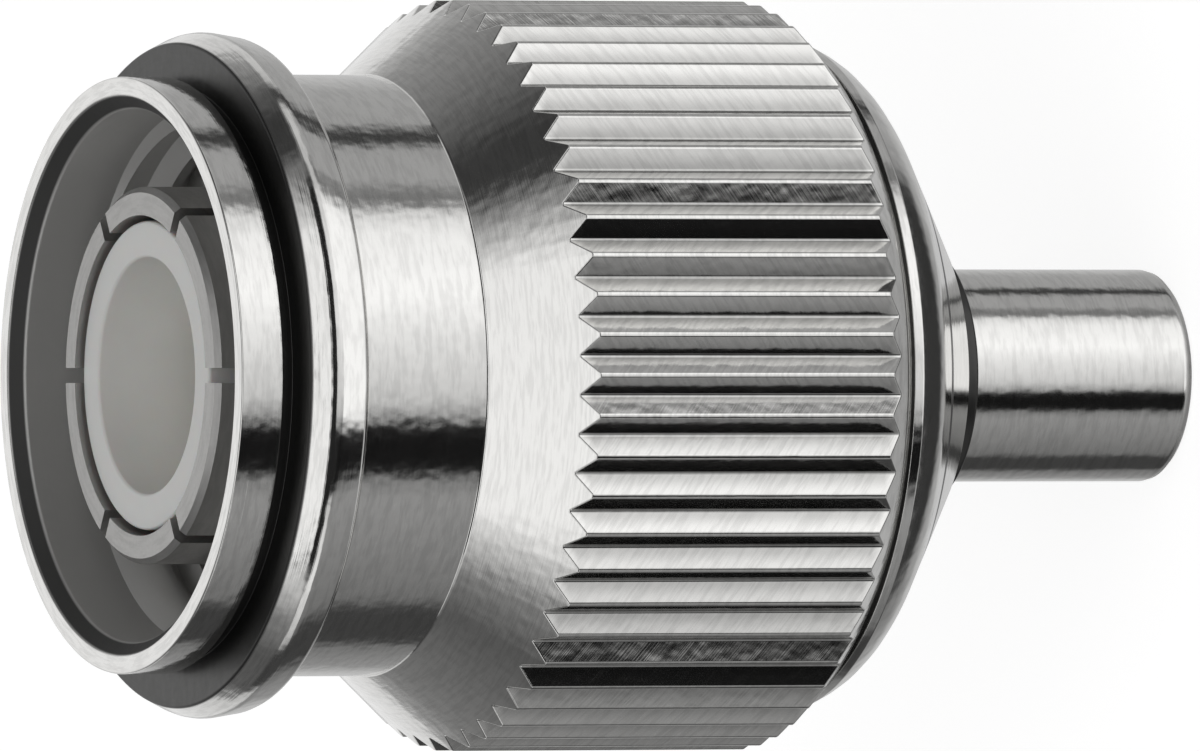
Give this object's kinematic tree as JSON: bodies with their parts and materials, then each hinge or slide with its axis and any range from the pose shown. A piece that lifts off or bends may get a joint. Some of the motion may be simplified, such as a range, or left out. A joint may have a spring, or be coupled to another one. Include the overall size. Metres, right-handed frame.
{
  "type": "threaded coaxial cable plug",
  "caption": "Straight coaxial cable plug with a knurled threaded coupling nut that spins, a slotted outer contact, a white insulator, a recessed pin and a crimp ferrule.",
  "frame": {"origin": "middle of the crimp ferrule's end, on which the plug stands", "axes": "+Z along the plug's axis, out of the mating mouth; -Y is the side with a contact slot and a knurl crest in its middle"},
  "size_m": [0.016, 0.016, 0.0242],
  "materials": {
    "nickel_plate": "satin nickel plate on brass",
    "contact_plate": "bright plate on spring bronze",
    "spring_bronze": "bare spring bronze",
    "gold_plate": "gold plate on brass",
    "white_ptfe": "waxy white fluoropolymer",
    "seal_rubber": "matt silicone rubber"
  },
  "bodies": {
    "core": {"body": "nickel_plate", "retaining_ring": "spring_bronze", "gasket": "seal_rubber", "outer_contact": "contact_plate", "front_insulator": "white_ptfe", "rear_insulator": "white_ptfe", "center_contact": "gold_plate", "crimp_ferrule": "nickel_plate"},
    "nut": {"coupling_nut": "nickel_plate"}
  },
  "joints": [
    {"name": "nut_spin", "type": "hinge", "parent": "core", "child": "nut", "pos_m": [0, 0, 0.0129], "axis": [0, 0, 1], "continuous": true}
  ]
}
